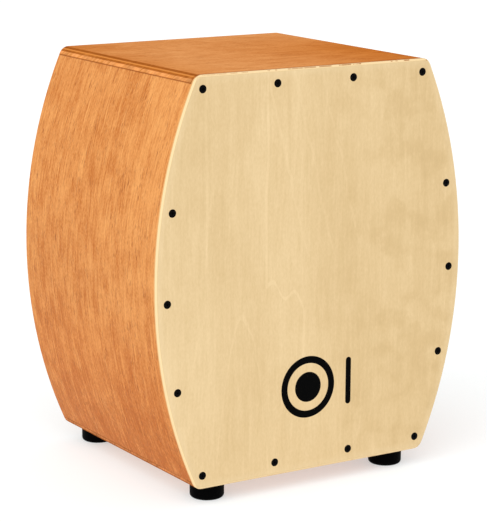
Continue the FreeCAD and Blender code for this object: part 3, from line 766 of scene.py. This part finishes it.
def snare_coils(side, material):
    """Stretched coils of fine wire from the clip to the back of the plate."""
    node = "snare_wires_" + side
    low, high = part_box(node)
    room = high.x - low.x - 2 * COIL_RADIUS
    verts, faces = [], []
    for index in range(COILS):
        x = low.x + COIL_RADIUS + room * index / (COILS - 1)
        root = Vector((x, high.y - COIL_RADIUS, low.z + COIL_RADIUS * 0.2))
        tip = Vector((x, low.y + COIL_RADIUS, high.z - COIL_RADIUS * 0.2))
        tube(verts, faces, coil_path(root, tip, index), WIRE_RADIUS, WIRE_SIDES)
    piece = new_piece("snare_coils_" + side, verts, faces, material)
    for face in piece.data.polygons:
        face.use_smooth = True
    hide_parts(node)


coil_steel = plated("snare_steel", (0.70, 0.70, 0.72), (0.55, 0.55, 0.57), 0.2)
snare_coils("left", coil_steel)
snare_coils("right", coil_steel)


# ---------------------------------------------------------------- printed mark


INK_FILM = 0.06 * MM

# The mark's middle and its sizes, in millimetres: a disc in a ring, and an upright bar on its right.
MARK_X, MARK_Z = -6, BODY_LOW + 95
RING_OUTER, RING_INNER, DISC = 35, 27, 17
BAR_X, BAR_HALF_WIDTH, BAR_HALF_HEIGHT = MARK_X + 54, 3.5, 27
CIRCLE_POINTS, BAR_END_POINTS = 96, 24


def film(name, loops, material):
    """A thin flat film on the plate's face. Each loop is (outer outline, inner outline or none), in
    millimetres across and up from the floor."""
    verts, faces = [], []
    back = plate_low.y
    for outer, inner in loops:
        count = len(outer)
        rings = [outer] if inner is None else [outer, inner]
        first = len(verts)
        for depth in (back - INK_FILM, back):
            for ring in rings:
                verts.extend(Vector((x * MM, depth, z * MM)) for x, z in ring)
        layer = count * len(rings)
        if inner is None:
            faces.append([first + i for i in range(count)])
            faces.append([first + layer + i for i in reversed(range(count))])
        for i in range(count):
            j = (i + 1) % count
            if inner is not None:
                in_i, in_j = count + i, count + j
                faces.append([first + n for n in (i, j, in_j, in_i)])
                faces.append([first + layer + n for n in (in_i, in_j, j, i)])
                faces.append([first + n for n in (in_i, in_j, layer + in_j, layer + in_i)])
            faces.append([first + n for n in (j, i, layer + i, layer + j)])
    return new_piece(name, verts, faces, material)


def circle(x, z, radius):
    """An outline of as many points for any radius, so that two of them make a ring."""
    turn = [2 * math.pi * i / CIRCLE_POINTS for i in range(CIRCLE_POINTS)]
    return [(x + radius * math.cos(a), z + radius * math.sin(a)) for a in turn]


def upright_bar(x, z, half_width, half_height):
    """The outline of a bar with round ends."""
    straight = half_height - half_width
    points = []
    for i in range(2 * BAR_END_POINTS):
        angle = math.pi * (i + 0.5) / BAR_END_POINTS
        lift = straight if i < BAR_END_POINTS else -straight
        points.append((x + half_width * math.cos(angle), z + lift + half_width * math.sin(angle)))
    return points


printed = ink()
ring = (circle(MARK_X, MARK_Z, RING_OUTER), circle(MARK_X, MARK_Z, RING_INNER))
film("printed_ring", [ring, (circle(MARK_X, MARK_Z, DISC), None)], printed)
bar = upright_bar(BAR_X, MARK_Z, BAR_HALF_WIDTH, BAR_HALF_HEIGHT)
film("printed_bar", [(bar, None)], printed)


# ---------------------------------------------------------------- floor, light and camera


FLOOR_HALF = 60
FLOOR_DARK, FLOOR_LIGHT = (0.50, 0.52, 0.52), (0.53, 0.55, 0.55)
FLOOR_GLOW = {"Emission_Color": (0.985, 1.0, 1.0, 1.0), "Emission_Strength": 0.50}
WORLD_STRENGTH = 0.74
SUN_STRENGTH, SUN_ANGLE = 2.0, 75
SUN_FROM = (-0.587, -0.490, 0.643)


def floor():
    """A wide pale floor that glows softly, like the photograph's white ground."""
    mesh = bpy.data.meshes.new("floor")
    corners = [(-1, -1), (1, -1), (1, 1), (-1, 1)]
    verts = [(x * FLOOR_HALF, y * FLOOR_HALF, 0) for x, y in corners]
    mesh.from_pydata(verts, [], [(0, 1, 2, 3)])
    plane = bpy.data.objects.new("floor", mesh)
    bpy.context.scene.collection.objects.link(plane)
    g = Graph("floor_paint")
    colour = g.mix(g.cloud(0.004, 2.0), FLOOR_DARK, FLOOR_LIGHT)
    mesh.materials.append(g.finish(colour, 0.9, Specular_IOR_Level=0.1, **FLOOR_GLOW))


def soft_sun():
    """A very large, distant light from the front left, so that the floor is lit evenly out to the
    horizon."""
    lamp = bpy.data.lights.new("key", "SUN")
    lamp.energy = SUN_STRENGTH
    lamp.angle = math.radians(SUN_ANGLE)
    light = bpy.data.objects.new("key", lamp)
    light.rotation_euler = Vector(SUN_FROM).to_track_quat("Z", "Y").to_euler()
    bpy.context.scene.collection.objects.link(light)


def room_light():
    """Even white light from all round."""
    world = bpy.data.worlds.new("studio")
    world.use_nodes = True
    background = world.node_tree.nodes["Background"]
    background.inputs["Color"].default_value = (1.0, 1.0, 1.0, 1.0)
    background.inputs["Strength"].default_value = WORLD_STRENGTH
    bpy.context.scene.world = world


# The photograph's viewpoint, solved from the drum's edges and corners: degrees, and metres in the
# row frame.
AZIMUTH, ELEVATION, ROLL = -32.262, 12.224, 0.295
CAMERA_PLACE = (-1.3026, -2.0694, 0.7574)
SENSOR_WIDTH, FOCAL_LENGTH = 36, 149.815
CLIP_START, CLIP_END = 0.05, 60


def camera():
    """The camera, about 32 degrees off the front on the left and a little above."""
    azimuth, elevation, roll = (math.radians(a) for a in (AZIMUTH, ELEVATION, ROLL))
    level = math.cos(elevation)
    back = Vector((math.sin(azimuth) * level, -math.cos(azimuth) * level, math.sin(elevation)))
    right = Vector((0, 0, 1)).cross(back).normalized()
    up = back.cross(right)
    lens = bpy.data.cameras.new("camera")
    lens.sensor_width = SENSOR_WIDTH
    lens.lens = FOCAL_LENGTH
    lens.clip_start, lens.clip_end = CLIP_START, CLIP_END
    view = bpy.data.objects.new("camera", lens)
    turned = Matrix.Rotation(roll, 3, back)
    axes = Matrix((turned @ right, turned @ up, back)).transposed()
    view.matrix_world = Matrix.Translation(CAMERA_PLACE) @ axes.to_4x4()
    bpy.context.scene.collection.objects.link(view)
    bpy.context.scene.camera = view


floor()
room_light()
soft_sun()
camera()
bpy.context.scene.view_settings.view_transform = "Standard"
